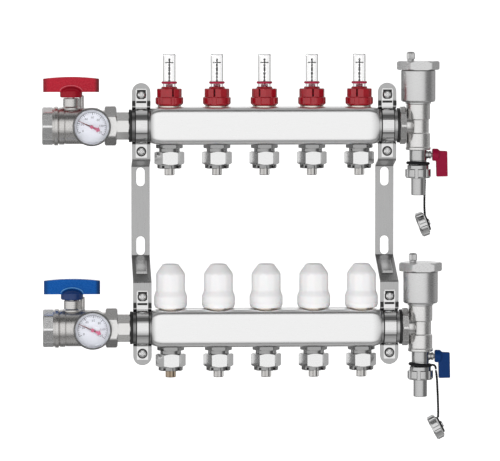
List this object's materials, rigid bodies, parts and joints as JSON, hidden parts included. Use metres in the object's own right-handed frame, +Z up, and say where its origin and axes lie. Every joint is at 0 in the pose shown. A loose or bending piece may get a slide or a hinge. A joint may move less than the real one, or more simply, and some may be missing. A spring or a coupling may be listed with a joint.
{
  "type": "underfloor heating manifold",
  "caption": "Two stainless bars on wall brackets: supply bar with flow meters above, return bar with manual valve caps below, each with a shut-off valve, thermometer, vent and drain cock.",
  "frame": {"origin": "centre of the left bracket's two wall slots, on the wall plane", "axes": "+X along the bars from the shut-off valves to the vents, +Y into the wall, +Z up"},
  "size_m": [0.427, 0.101, 0.4069],
  "materials": {
    "bar_steel": "polished stainless steel",
    "bracket_steel": "satin zinc-plated steel",
    "clamp_steel": "bright zinc-plated steel",
    "lining_rubber": "matt",
    "screw_steel": "bright zinc-plated",
    "valve_nickel": "nickel-plated, forged and shot-blasted, satin",
    "union_nickel": "nickel-plated, satin",
    "gauge_case": "dark plated, smooth",
    "gauge_dial": "matt white with printed scale",
    "gauge_lens": "clear",
    "sight_glass": "clear moulded plastic",
    "cartridge_brass": "machined",
    "fitting_nickel": "nickel-plated, bright",
    "insert_nickel": "nickel-plated, machined",
    "seal_rubber": "matt",
    "tee_nickel": "nickel-plated, shot-blasted, satin",
    "vent_nickel": "nickel-plated, satin",
    "drain_nickel": "nickel-plated, bright",
    "strap_black": "matt",
    "handle_red": "gloss lacquered aluminium",
    "handle_blue": "gloss lacquered aluminium",
    "ball_chrome": "polished",
    "needle_red": "matt",
    "collar_red": "moulded, semi-gloss",
    "float_black": "moulded",
    "cap_white": "moulded, silky",
    "pin_steel": "ground stainless",
    "lever_red": "moulded, semi-gloss",
    "lever_blue": "moulded, semi-gloss",
    "float_plastic": "moulded",
    "cap_nickel": "nickel-plated"
  },
  "bodies": {
    "manifold": {"supply_bar": "bar_steel", "return_bar": "bar_steel", "wall_brackets": "bracket_steel", "clamp_straps": "clamp_steel", "clamp_linings": "lining_rubber", "clamp_screws": "screw_steel", "valve_bodies": "valve_nickel", "union_nuts": "union_nickel", "union_tails": "union_nickel", "thermometer_cases": "gauge_case", "thermometer_dials": "gauge_dial", "thermometer_lenses": "gauge_lens", "sight_glasses": "sight_glass", "bar_cartridges": "cartridge_brass", "outlet_nipples": "fitting_nickel", "compression_nuts": "fitting_nickel", "pipe_inserts": "insert_nickel", "seals_and_seats": "seal_rubber", "end_tees": "tee_nickel", "vent_bodies": "vent_nickel", "vent_lids": "vent_nickel", "drain_bodies": "drain_nickel", "drain_outlets": "drain_nickel", "strap_rings": "strap_black"},
    "supply_valve_core": {"supply_handle": "handle_red", "supply_ball": "ball_chrome"},
    "return_valve_core": {"return_handle": "handle_blue", "return_ball": "ball_chrome"},
    "supply_pointer": {"supply_needle": "needle_red"},
    "return_pointer": {"return_needle": "needle_red"},
    "collar_1": {"flow_collar_1": "collar_red"},
    "collar_2": {"flow_collar_2": "collar_red"},
    "collar_3": {"flow_collar_3": "collar_red"},
    "collar_4": {"flow_collar_4": "collar_red"},
    "collar_5": {"flow_collar_5": "collar_red"},
    "float_1": {"flow_float_1": "float_black"},
    "float_2": {"flow_float_2": "float_black"},
    "float_3": {"flow_float_3": "float_black"},
    "float_4": {"flow_float_4": "float_black"},
    "float_5": {"flow_float_5": "float_black"},
    "pin_1": {"valve_pin_1": "pin_steel"},
    "cap_1": {"valve_cap_1": "cap_white"},
    "pin_2": {"valve_pin_2": "pin_steel"},
    "cap_2": {"valve_cap_2": "cap_white"},
    "pin_3": {"valve_pin_3": "pin_steel"},
    "cap_3": {"valve_cap_3": "cap_white"},
    "pin_4": {"valve_pin_4": "pin_steel"},
    "cap_4": {"valve_cap_4": "cap_white"},
    "pin_5": {"valve_pin_5": "pin_steel"},
    "cap_5": {"valve_cap_5": "cap_white"},
    "supply_drain_core": {"supply_drain_handle": "lever_red", "supply_drain_ball": "ball_chrome"},
    "return_drain_core": {"return_drain_handle": "lever_blue", "return_drain_ball": "ball_chrome"},
    "supply_vent_inner": {"supply_vent_float": "float_plastic"},
    "return_vent_inner": {"return_vent_float": "float_plastic"},
    "supply_hanging_cap": {"supply_cap_strap": "strap_black", "supply_drain_cap": "cap_nickel"},
    "return_hanging_cap": {"return_cap_strap": "strap_black", "return_drain_cap": "cap_nickel"}
  },
  "joints": [
    {"name": "supply_handle_turn", "type": "hinge", "parent": "manifold", "child": "supply_valve_core", "pos_m": [-0.0735, -0.036, 0.092], "axis": [0, 0, 1], "range_deg": [-90, 0]},
    {"name": "return_handle_turn", "type": "hinge", "parent": "manifold", "child": "return_valve_core", "pos_m": [-0.0735, -0.068, -0.118], "axis": [0, 0, 1], "range_deg": [-90, 0]},
    {"name": "supply_needle_turn", "type": "hinge", "parent": "manifold", "child": "supply_pointer", "pos_m": [-0.0525, -0.064, 0.092], "axis": [0, 1, 0], "range_deg": [-50, 190]},
    {"name": "return_needle_turn", "type": "hinge", "parent": "manifold", "child": "return_pointer", "pos_m": [-0.0525, -0.096, -0.118], "axis": [0, 1, 0], "range_deg": [-50, 190]},
    {"name": "flow_collar_1_turn", "type": "hinge", "parent": "manifold", "child": "collar_1", "pos_m": [0.0295, -0.036, 0.122], "axis": [0, 0, 1], "range_deg": [-900, 0]},
    {"name": "flow_collar_2_turn", "type": "hinge", "parent": "manifold", "child": "collar_2", "pos_m": [0.0795, -0.036, 0.122], "axis": [0, 0, 1], "range_deg": [-900, 0]},
    {"name": "flow_collar_3_turn", "type": "hinge", "parent": "manifold", "child": "collar_3", "pos_m": [0.1295, -0.036, 0.122], "axis": [0, 0, 1], "range_deg": [-900, 0]},
    {"name": "flow_collar_4_turn", "type": "hinge", "parent": "manifold", "child": "collar_4", "pos_m": [0.1795, -0.036, 0.122], "axis": [0, 0, 1], "range_deg": [-900, 0]},
    {"name": "flow_collar_5_turn", "type": "hinge", "parent": "manifold", "child": "collar_5", "pos_m": [0.2295, -0.036, 0.122], "axis": [0, 0, 1], "range_deg": [-900, 0]},
    {"name": "flow_float_1_slide", "type": "slide", "parent": "manifold", "child": "float_1", "axis": [0, 0, 1], "range_m": [-0.018, 0], "stiffness_N_per_m": 20, "springref_m": 0.003},
    {"name": "flow_float_2_slide", "type": "slide", "parent": "manifold", "child": "float_2", "axis": [0, 0, 1], "range_m": [-0.018, 0], "stiffness_N_per_m": 20, "springref_m": 0.003},
    {"name": "flow_float_3_slide", "type": "slide", "parent": "manifold", "child": "float_3", "axis": [0, 0, 1], "range_m": [-0.018, 0], "stiffness_N_per_m": 20, "springref_m": 0.003},
    {"name": "flow_float_4_slide", "type": "slide", "parent": "manifold", "child": "float_4", "axis": [0, 0, 1], "range_m": [-0.018, 0], "stiffness_N_per_m": 20, "springref_m": 0.003},
    {"name": "flow_float_5_slide", "type": "slide", "parent": "manifold", "child": "float_5", "axis": [0, 0, 1], "range_m": [-0.018, 0], "stiffness_N_per_m": 20, "springref_m": 0.003},
    {"name": "valve_pin_1_lift", "type": "slide", "parent": "manifold", "child": "pin_1", "axis": [0, 0, 1], "range_m": [0, 0.003]},
    {"name": "valve_cap_1_turn", "type": "hinge", "parent": "pin_1", "child": "cap_1", "pos_m": [0.0295, -0.068, -0.088], "axis": [0, 0, 1], "range_deg": [0, 724]},
    {"name": "valve_pin_2_lift", "type": "slide", "parent": "manifold", "child": "pin_2", "axis": [0, 0, 1], "range_m": [0, 0.003]},
    {"name": "valve_cap_2_turn", "type": "hinge", "parent": "pin_2", "child": "cap_2", "pos_m": [0.0795, -0.068, -0.088], "axis": [0, 0, 1], "range_deg": [0, 724]},
    {"name": "valve_pin_3_lift", "type": "slide", "parent": "manifold", "child": "pin_3", "axis": [0, 0, 1], "range_m": [0, 0.003]},
    {"name": "valve_cap_3_turn", "type": "hinge", "parent": "pin_3", "child": "cap_3", "pos_m": [0.1295, -0.068, -0.088], "axis": [0, 0, 1], "range_deg": [0, 724]},
    {"name": "valve_pin_4_lift", "type": "slide", "parent": "manifold", "child": "pin_4", "axis": [0, 0, 1], "range_m": [0, 0.003]},
    {"name": "valve_cap_4_turn", "type": "hinge", "parent": "pin_4", "child": "cap_4", "pos_m": [0.1795, -0.068, -0.088], "axis": [0, 0, 1], "range_deg": [0, 724]},
    {"name": "valve_pin_5_lift", "type": "slide", "parent": "manifold", "child": "pin_5", "axis": [0, 0, 1], "range_m": [0, 0.003]},
    {"name": "valve_cap_5_turn", "type": "hinge", "parent": "pin_5", "child": "cap_5", "pos_m": [0.2295, -0.068, -0.088], "axis": [0, 0, 1], "range_deg": [0, 724]},
    {"name": "supply_drain_turn", "type": "hinge", "parent": "manifold", "child": "supply_drain_core", "pos_m": [0.2917, -0.036, 0.0608], "axis": [1, 0, 0], "range_deg": [-90, 0]},
    {"name": "return_drain_turn", "type": "hinge", "parent": "manifold", "child": "return_drain_core", "pos_m": [0.2917, -0.068, -0.1492], "axis": [1, 0, 0], "range_deg": [-90, 0]},
    {"name": "supply_vent_float_slide", "type": "slide", "parent": "manifold", "child": "supply_vent_inner", "axis": [0, 0, 1], "range_m": [0, 0.004]},
    {"name": "return_vent_float_slide", "type": "slide", "parent": "manifold", "child": "return_vent_inner", "axis": [0, 0, 1], "range_m": [0, 0.004]},
    {"name": "supply_cap_swing", "type": "hinge", "parent": "manifold", "child": "supply_hanging_cap", "pos_m": [0.3002, -0.0236, 0.0358], "axis": [1, 0, 0], "range_deg": [-25, 10]},
    {"name": "return_cap_swing", "type": "hinge", "parent": "manifold", "child": "return_hanging_cap", "pos_m": [0.308, -0.068, -0.1634], "axis": [1, 0, 0], "range_deg": [-30, 30]}
  ],
  "couplings": [
    {"joint": "valve_cap_1_turn", "follows": "valve_pin_1_lift", "rad_per_m": 4188.8},
    {"joint": "valve_cap_2_turn", "follows": "valve_pin_2_lift", "rad_per_m": 4188.8},
    {"joint": "valve_cap_3_turn", "follows": "valve_pin_3_lift", "rad_per_m": 4188.8},
    {"joint": "valve_cap_4_turn", "follows": "valve_pin_4_lift", "rad_per_m": 4188.8},
    {"joint": "valve_cap_5_turn", "follows": "valve_pin_5_lift", "rad_per_m": 4188.8}
  ]
}
